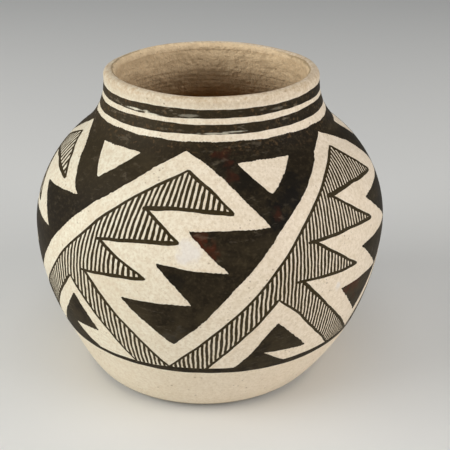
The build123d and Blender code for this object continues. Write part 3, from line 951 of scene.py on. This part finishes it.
FOOT_PEAK = [(18, 0), (22.4, 5.6), (31, 21.7), (41.3, 6.8), (27, 7.6), (33.2, 2.4), (37.2, 0)]
SEAM = 0.6
BLACK_FIELD = [(-SEAM, SHEET_HEIGHT), (-SEAM, PEAK[1]), PEAK, *RIGHT_SLOPE, *SOLID_TEETH, *WHITE_BAND,
               NEXT_PEAK, (SHEET_WIDTH + SEAM, PEAK[1]), (SHEET_WIDTH + SEAM, SHEET_HEIGHT)]
HATCHED_TEETH = [corner for tooth_side in TOOTH_SIDES for corner in tooth_side[1:]]
HATCHED_FIELD = [*HATCHED_SLOPE, *HATCHED_TEETH, *STRIP_DOWN, *STRIP_UNDER_RIGHT,
                 *STRIP_UNDER_LEFT[1:], *STRIP_UP[:-1]]
print("corners:", len(BLACK_FIELD), "solid,", len(HATCHED_FIELD), "hatched,", len(FOOT_PEAK), "in a peak")

# %% Moves of single corners
MOVES = (
    {(22.4, 74.5): (-1.8, -1.2), (45.6, 74.5): (-2.2, -1.0), (32.5, 65.3): (-1.5, -0.9),
     (31, 21.7): (-0.2, -0.7), (41.3, 6.8): (0.9, -1.1), (27, 7.6): (0.3, -0.3), (4.8, 54.9): (-1.0, 0.6),
     (-4.3, 44.1): (-0.7, 0.4), (-15, 29.5): (-0.4, 0), (-0.5, 12.9): (1.0, 0), (-3, 1.8): (0.9, -1.3)},
    {(1.7, 71.4): (-1.4, 0.4), (10, 67): (-4.0, -0.3), (17.7, 60.3): (-2.9, -0.9), (0, 61.6): (-2.6, -0.5),
     (-10.4, 60.6): (-3.6, -0.2), (-25.5, 54.8): (-0.8, 0), (-15, 63.5): (-1.2, 0), (-5, 68.8): (-1.5, 0.3),
     (-69, 1.8): (0.9, -1.3), (-35.2, 30.6): (-0.6, -0.3), (1.5, 51.6): (1.5, -5.0), (-11, 50.7): (0, -2.2),
     (-7.5, 38.5): (0.5, -5.0), (4.8, 54.9): (-2.4, -0.5), (16.3, 42.1): (1.9, -3.3),
     (-4.3, 44.1): (-0.4, -5.1), (6.2, 30.3): (2.6, -5.9), (-15, 29.5): (1.4, -3.1),
     (-0.5, 12.9): (-1.1, -3.5), (-20, 24.6): (0.6, -1.8), (-10, 12): (0.6, -2.0), (-3, 1.8): (1.4, -1.4),
     (-13.6, 0): (1.2, 0)},
    {(-69, 1.8): (1.4, -1.4), (1.5, 51.6): (0.8, -2.4), (-11, 50.7): (0, -1.0), (-7.5, 38.5): (0.3, -2.4),
     (-4.3, 44.1): (-0.2, -2.4), (6.2, 30.3): (1.2, -2.8)},
    {(17.7, 60.3): (0.9, 0.6), (16.3, 42.1): (-0.8, -1.1), (31, 21.7): (-0.7, 1.0),
     (32.5, 65.3): (0.9, -0.6)},
    {(1.5, 51.6): (1.6, -4.8), (-11, 50.7): (0, -2.1), (1.7, 71.4): (-2.8, 0.4), (10, 67): (-0.2, 0.0),
     (17.7, 60.3): (-1.1, 0.3), (0, 61.6): (2.0, 1.5), (-10.4, 60.6): (0, 2.0), (-15, 63.5): (0, 2.6),
     (-5, 68.8): (0, 1.6), (28.8, 55.6): (-1.0, 3.0), (4.8, 54.9): (0.4, 1.1), (16.3, 42.1): (0.9, 1.3),
     (31, 21.7): (1.0, 1.9), (41.3, 6.8): (-1.1, 3.4), (27, 7.6): (1.6, 1.2), (18, 0): (-2.5, 0),
     (22.4, 5.6): (-2.5, 0.5)},
)


def moved(points, repeat):
    """The corners of an outline with the moves that they have on one repeat."""
    moves = MOVES[repeat]
    return [(x + moves[x, y][0], y + moves[x, y][1]) if (x, y) in moves else (x, y) for x, y in points]


print("moved corners on each repeat:", [len(moves) for moves in MOVES])

# %% [markdown]
# ## Filled fields
# A filled field is a film of paint with brushed edges. One polygon with many corners would bend badly
# over the round wall, so the field is filled with small triangles on the sheet first, and then laid
# on the jar as a thin closed film that stands a little off the slip and sinks a little into it.

# %% Lines on the sheet
EDGE_STEP = 0.36
ROUNDING = 5
EDGE_ROUGH = 0.10
ROUGH_FADE = (0.31, 0.23)
ROUGH_ACROSS = (1.7, 3.9)
ROUGH_UP = (4.3, -2.1)


def divided(points, step):
    """A closed line with a point about every step, as an array."""
    corners = np.array(points + points[:1], float)
    sides = np.hypot(*np.diff(corners, axis=0).T)
    places = np.concatenate([[0], np.cumsum(sides)])
    even = np.linspace(0, places[-1], int(places[-1] / step) + 1)[:-1]
    return np.stack([np.interp(even, places, corners[:, axis]) for axis in (0, 1)], -1)


def softened(line, times):
    """Round the corners of a closed line: each point moves to the mean of itself and its neighbours."""
    for _ in range(times):
        line = (np.roll(line, 1, axis=0) + 2 * line + np.roll(line, -1, axis=0)) / 4
    return line


def wave_on(line, rates):
    """Sine wave over the sheet, read at the points of a line."""
    return np.sin(rates[0] * line[:, 0] + rates[1] * line[:, 1])


def brushed(edge):
    """Roughen a painted edge, as a brush of few hairs does: short sine waves that come and go."""
    size = EDGE_ROUGH * (0.5 + 0.5 * wave_on(edge, ROUGH_FADE))
    return edge + size[:, None] * np.stack([wave_on(edge, ROUGH_ACROSS), wave_on(edge, ROUGH_UP)], -1)


def inside(points, outline):
    """Which points lie inside a closed outline: a level ray crosses it an odd number of times."""
    x, y = points[:, None, 0], points[:, None, 1]
    (x1, y1), (x2, y2) = outline.T, np.roll(outline, -1, axis=0).T
    rise = np.where(y2 == y1, 1e-9, y2 - y1)
    crossed = ((y1 > y) != (y2 > y)) & (x < x1 + (x2 - x1) * (y - y1) / rise)
    return crossed.sum(1) % 2 == 1


print("edge of a foot peak:", len(divided(FOOT_PEAK, EDGE_STEP)), "points")

# %% Triangles in a field
FILL_STEP = 1.7
EDGE_CLEAR = 1.4 * EDGE_STEP
MERGE = 1e-6


def filled(outline, holes=()):
    """Triangles that fill an outline with holes.

    Points on the edges and an even grid inside are joined so that the triangles stay plump.
    """
    edges = [brushed(softened(divided(points, EDGE_STEP), ROUNDING)) for points in (outline, *holes)]
    low, high = edges[0].min(0), edges[0].max(0)
    steps = [np.arange(low[axis], high[axis], FILL_STEP) for axis in (0, 1)]
    grid = np.stack(np.meshgrid(*steps), -1)
    grid[1::2, :, 0] += FILL_STEP / 2
    grid = grid.reshape(-1, 2)
    rim = np.concatenate(edges)
    clear = np.hypot(*(grid[:, None] - rim[None]).transpose(2, 0, 1)).min(1) > EDGE_CLEAR
    points = np.concatenate([rim, grid[clear & inside(grid, edges[0])]])
    starts = np.cumsum([0] + [len(edge) for edge in edges])
    rings = [np.arange(start, end) for start, end in zip(starts, starts[1:])]
    sides = np.concatenate([np.stack([ring, np.roll(ring, -1)], -1) for ring in rings])
    made = delaunay_2d_cdt([Vector(point) for point in points.tolist()], sides.tolist(), [], 0, MERGE)
    points, triangles = np.array([tuple(v) for v in made[0]]), np.array(made[2])
    middles = points[triangles].mean(1)
    keep = inside(middles, edges[0])
    for hole in edges[1:]:
        keep &= ~inside(middles, hole)
    return points, triangles[keep]


print("a foot peak is filled with", len(filled(FOOT_PEAK)[1]), "triangles")

# %% Films of paint
PAINT = 0.08
SUNK = 0.06


def film(points, triangles, repeat):
    """A closed film: the triangles on top, the same ones underneath, and walls along the open edges."""
    count = len(points)
    sides = triangles[:, [0, 1, 1, 2, 2, 0]].reshape(-1, 2)
    _, first, uses = np.unique(np.sort(sides, 1), axis=0, return_index=True, return_counts=True)
    start, end = sides[first[uses == 1]].T
    walls = np.stack([end, start, start + count, end + count], -1)
    both_sides = [on_jar(repeat, points[:, 0], points[:, 1], lift) for lift in (PAINT, -SUNK)]
    return np.concatenate(both_sides), [triangles, triangles[:, ::-1] + count, walls]


for repeat in range(REPEATS):
    black_shape = filled(moved(BLACK_FIELD, repeat), [moved(SHOULDER_WINDOW, repeat)])
    foot_shape = filled(moved(FOOT_PEAK, repeat))
    for kind, shape in (("black_field", black_shape), ("foot_peak", foot_shape)):
        make_piece(f"{kind}_{repeat + 1}", *film(*shape, repeat), black_paint, "black_paint")

# %% [markdown]
# ## Brush lines
# A yucca brush lays a thin line with a rounded back, soft ends and a width that breathes. Curves with
# a bevel could draw such lines, but they would stand off the wall as wires. Here one small
# cross-section is carried along every path on the sheet and then laid on the jar, so all the lines of
# a field are worked out in one array.

# %% Brush strokes
ALONG = 28
BACK = np.array([(-1, 0), (-0.92, 0.75), (-0.55, 1), (0, 1.05), (0.55, 1), (0.92, 0.75), (1, 0),
                 (0.5, -0.7), (-0.5, -0.7)])
END_STEEP = 14
END_WIDTH = 0.35
# Waves of the width: size, rate along the line, step from line to line, share of the seed
BREATHS = ((0.09, 5.1, 2.4, 1), (0.05, 13, 4.1, 0))


def strokes(repeat, paths, width, seed):
    """Closed brush lines along paths on the sheet, shaped (lines, along, 2), as points and faces.

    A point of a line is path + side * width(t) * profile, where the side is square to the path and
    the width narrows at both ends and breathes along the way.
    """
    lines, along = paths.shape[:2]
    t = np.linspace(0, 1, along)[None, :]
    number = np.arange(lines)[:, None]
    ends = np.clip(np.minimum(t, 1 - t) * END_STEEP + END_WIDTH, 0, 1) ** 0.5
    breath = 1 + sum(size * np.sin(rate * t + step * number + seed * seeded)
                     for size, rate, step, seeded in BREATHS)
    ahead = np.gradient(paths, axis=1)
    side = np.stack([ahead[..., 1], -ahead[..., 0]], -1)
    side = side / np.hypot(ahead[..., 0], ahead[..., 1])[..., None]
    half = (width / 2 * ends * breath)[..., None, None]
    places = paths[:, :, None] + side[:, :, None] * half * BACK[:, 0][:, None]
    lift = np.where(BACK[:, 1] > 0, BACK[:, 1] * PAINT, BACK[:, 1] * SUNK) * np.ones((lines, along, 1))
    points = on_jar(repeat, places[..., 0], places[..., 1], lift)
    block = along * len(BACK)
    offsets = (np.arange(lines) * block)[:, None, None]
    skin = (quads(along, len(BACK), False, True)[None] + offsets).reshape(-1, 4)
    cap = np.arange(len(BACK))[None] + offsets[:, 0]
    return points.reshape(-1, 3), [skin, cap, cap[:, ::-1] + block - len(BACK)]


print("a stroke has", ALONG * len(BACK), "points")

# %% [markdown]
# ## Outlines of the hatched fields
# The painter draws each hatched field with a run of the brush along every side, and where two runs
# meet at the root of a tooth one goes on a little past the other. A single closed line would lose
# those crossings, so each side is a stroke of its own with its own width.

# %% Outlines of the hatched fields
SIDE_LINES = np.array([0.95, 1.25, 1.0, 1.25, 1.0, 1.2, 1.1, 0.85, 0.95, 0.95])[:, None]
OVERSHOOT = (1.2, 2.0, 1.0, 1.2, 1.0)
STRIP_SIDES = ([HATCHED_TEETH[-1], *STRIP_DOWN], STRIP_UNDER_RIGHT, STRIP_UNDER_LEFT, STRIP_UP)


def evenly(path):
    """A line of corners on the sheet, spread to a fixed number of points and eased at the corners."""
    corners = np.array(path, float)
    places = np.concatenate([[0], np.cumsum(np.hypot(*np.diff(corners, axis=0).T))])
    even = np.linspace(0, places[-1], ALONG)
    line = np.stack([np.interp(even, places, corners[:, axis]) for axis in (0, 1)], -1)
    line[1:-1] = (line[:-2] + 2 * line[1:-1] + line[2:]) / 4
    return line


def overshot(run, by):
    """A run of the brush that goes straight on past its last corner."""
    (x1, y1), (x2, y2) = run[-2:]
    share = by / np.hypot(x2 - x1, y2 - y1)
    return [*run, (x2 + share * (x2 - x1), y2 + share * (y2 - y1))]


for repeat in range(REPEATS):
    runs = [moved(HATCHED_SLOPE, repeat)]
    for count, tooth_side in enumerate(TOOTH_SIDES):
        run = moved(tooth_side, repeat)[:: -1 if count % 2 else 1]
        runs.append(overshot(run, OVERSHOOT[repeat] / (1 + count % 2)))
    runs += [moved(run, repeat) for run in STRIP_SIDES]
    outline_paths = np.stack([evenly(run) for run in runs])
    outline_strokes = strokes(repeat, outline_paths, SIDE_LINES, repeat)
    make_piece(f"hatch_outline_{repeat + 1}", *outline_strokes, line_paint, "black_paint")

# %% [markdown]
# ## Hatching
# The hatching is a row of upright strokes from edge to edge of a field, closer here and wider there,
# leaning over towards the shoulder. A striped texture would be quick, but its lines would be all alike
# and have no ends. So each line is a stroke, cut where it crosses the field's outline. The leg that
# runs down under the teeth was hatched by itself, so its lines have a spacing of their own.

# %% Spacing of the hatching
SPACING_PLACES = (-69, -45, -36, -28, -18, -8, 4, 18)
SPACINGS = ((1.40, 1.40, 1.42, 1.50, 1.64, 1.74, 1.86, 1.92),
            (1.52, 1.33, 1.28, 1.15, 1.25, 1.42, 1.70, 1.85),
            (1.45, 1.45, 1.40, 1.40, 1.50, 1.60, 1.70, 1.75),
            (1.50, 1.50, 1.45, 1.40, 1.50, 1.60, 1.70, 1.75),
            (1.50, 1.50, 1.45, 1.40, 1.60, 2.10, 2.50, 2.50))
LEG_PLACES = (-28, -6)
LEG_SPACINGS = ((1.58, 1.38), (1.15, 1.15), (1.35, 1.30), (1.40, 1.35), (1.40, 1.35))
PLACE_STEPS = 2000


def hatch_spacing(repeat, leg, across):
    """Spacing of the lines at a place across the sheet, in the leg or in the rest of the field."""
    if leg:
        return np.interp(across, LEG_PLACES, LEG_SPACINGS[repeat])
    return np.interp(across, SPACING_PLACES, SPACINGS[repeat])


def hatch_places(repeat, leg, low, high):
    """Places of the lines across the sheet, one step of the local spacing after the other."""
    across = np.linspace(low, high, PLACE_STEPS)
    steps = np.diff(across) / hatch_spacing(repeat, leg, across)[1:]
    count = np.concatenate([[0], np.cumsum(steps)])
    return np.interp(np.arange(0.5, count[-1]), count, across)


first_places = hatch_places(0, False, SPACING_PLACES[0], SPACING_PLACES[-1])
print("the first hatched field has", len(first_places), "places for lines")

# %% Hatching
LINE_SHARES = (0.56, 0.60, 0.55, 0.55, 0.47)
LEAN_RATE = (0.004, 0.004, 0.004, 0.004, 0.001)
LEAN_START = 38.0
HATCH_SEED = 10


def leaned(repeat, up):
    """How far a line has leaned over to the right: the square of its height past a start."""
    return LEAN_RATE[repeat] * np.clip(up - LEAN_START, 0, None) ** 2


def hatch_paths(repeat):
    """Leaning lines, cut where they cross the field's outline, and their widths."""
    field_line = divided(moved(HATCHED_FIELD, repeat), EDGE_STEP)
    x1, y1 = field_line[:, 0] - leaned(repeat, field_line[:, 1]), field_line[:, 1]
    x2, y2 = np.roll(x1, -1), np.roll(y1, -1)
    paths, widths = [], []
    for leg in (False, True):
        for across in hatch_places(repeat, leg, x1.min(), x1.max()):
            hit = (x1 - across) * (x2 - across) < 0
            crossings = np.sort(y1[hit] + (y2 - y1)[hit] * (across - x1[hit]) / (x2 - x1)[hit])
            for low, high in crossings.reshape(-1, 2):
                in_leg = across > STRIP_UNDER_LEFT[0][0] and high < HATCHED_TEETH[-1][1]
                if in_leg == leg:
                    up = np.linspace(low, high, ALONG)
                    paths.append(np.stack([across + leaned(repeat, up), up], -1))
                    widths.append(LINE_SHARES[repeat] * hatch_spacing(repeat, leg, across))
    return np.stack(paths), np.array(widths)[:, None]


for repeat in range(REPEATS):
    hatching = strokes(repeat, *hatch_paths(repeat), HATCH_SEED + repeat)
    make_piece(f"hatching_{repeat + 1}", *hatching, line_paint, "black_paint")

# %% [markdown]
# ## Painted rings
# The rings on the neck and the line under the design are strokes that meet themselves. Flat bands of
# colour in the slip's finish would do from afar, but their edges would be too clean. The edges wander
# a little in height, so each ring is a cross-section carried round the jar between two wavy edges.

# %% Neck bands and base line
LOW_EDGE = (3, 8, 17, 41)
HIGH_EDGE = (4, 7, 19, 47)
HIGH_EDGE_SEED = 2.6
NEXT_WAVE = 1.9


def wavy(size, counts, seed):
    """An edge's wander round the jar: a few sines of the angle, each smaller than the one before."""
    return sum(size / (k + 1) * np.sin(count * around[:, 0] + seed + NEXT_WAVE * k)
               for k, count in enumerate(counts))


def painted_ring(name, heights, material, wander, seed, rise, at, reach):
    """A closed ring of paint between two wavy edges.

    Its middle is the mean of the edges, and a bell curve of the angle lifts the whole ring round a
    place in degrees.
    """
    aside = np.angle(np.exp(1j * (around[:, 0] - np.radians(at)))) / np.radians(reach)
    lift = rise * np.exp(-aside**2)
    low = distance_at(heights[0]) + wavy(wander, LOW_EDGE, seed) + lift
    high = distance_at(heights[1]) + wavy(wander, HIGH_EDGE, seed + HIGH_EDGE_SEED) + lift
    distance = (low + high)[:, None] / 2 + (high - low)[:, None] / 2 * BACK[None, :, 0]
    back = np.where(BACK[:, 1] > 0, np.minimum(BACK[:, 1], 1) * PAINT, BACK[:, 1] * SUNK)[None]
    points = hand_built(around, *wall_at(distance, -back))
    make_piece(name, points, [quads(TURNS, len(BACK), True, True)], material, "black_paint")


painted_ring("neck_band_upper", BAND_UPPER, rubbed_paint, wander=0.16, seed=0.3, rise=1.1, at=68, reach=32)
painted_ring("neck_band_lower", BAND_LOWER, rubbed_paint, wander=0.16, seed=1.4, rise=1.1, at=66, reach=30)
painted_ring("base_line", BASE_LINE, black_paint, wander=0.20, seed=4.0, rise=0.8, at=12, reach=45)

# %% [markdown]
# ## Floor and light
# The stage is a plain pale floor, four soft square lights and a faint sky: a wide key from the upper
# left, a fill from the right, a low one in front for the foot, and one above for the mouth. A single
# lamp would throw a hard shadow, and a sky alone would leave the form flat.

# %% Stage
FLOOR_HALF = 3.0
FLOOR_PALE = (0.80, 0.80, 0.78, 1)
LIGHT_AIM = Vector((0, 0, 0.06))
# Each light: where it stands in metres, its size, its power and its colour
LIGHTS = {
    "key": ((-1.1, -0.36, 0.58), 0.8, 10.5, (1.0, 0.99, 0.96)),
    "fill": ((1.1, -0.40, 0.50), 0.8, 7.8, (1.0, 0.97, 0.94)),
    "low_front": ((-0.1, -1.0, 0.12), 0.6, 2.2, (1.0, 0.98, 0.95)),
    "top": ((0.0, -0.2, 1.1), 0.6, 2.4, (1.0, 0.99, 0.97)),
}
SKY = (0.93, 0.96, 1.0, 1)
SKY_STRENGTH = 0.2

floor_corners = [(FLOOR_HALF * x, FLOOR_HALF * y, 0) for x, y in ((-1, -1), (1, -1), (1, 1), (-1, 1))]
floor_mesh = bpy.data.meshes.new("floor")
floor_mesh.from_pydata(floor_corners, [], [(0, 1, 2, 3)])
floor_finish, _, floor_shader = new_finish("pale_floor", roughness=0.7, specular=0.5)
floor_shader.inputs["Base Color"].default_value = FLOOR_PALE
floor_mesh.materials.append(floor_finish)
floor = bpy.data.objects.new("floor", floor_mesh)
bpy.context.scene.collection.objects.link(floor)
for name, (stand, size, power, colour) in LIGHTS.items():
    light = bpy.data.lights.new(name, "AREA")
    light.size = size
    light.energy = power
    light.color = colour
    lamp = bpy.data.objects.new(name, light)
    lamp.location = stand
    lamp.rotation_euler = (LIGHT_AIM - Vector(stand)).to_track_quat("-Z", "Y").to_euler()
    bpy.context.scene.collection.objects.link(lamp)
world = bpy.data.worlds.new("soft_sky")
world.use_nodes = True
sky = world.node_tree.nodes["Background"].inputs
sky["Color"].default_value = SKY
sky["Strength"].default_value = SKY_STRENGTH
bpy.context.scene.world = world
bpy.context.scene.view_settings.view_transform = "Standard"
print("lights:", list(LIGHTS))
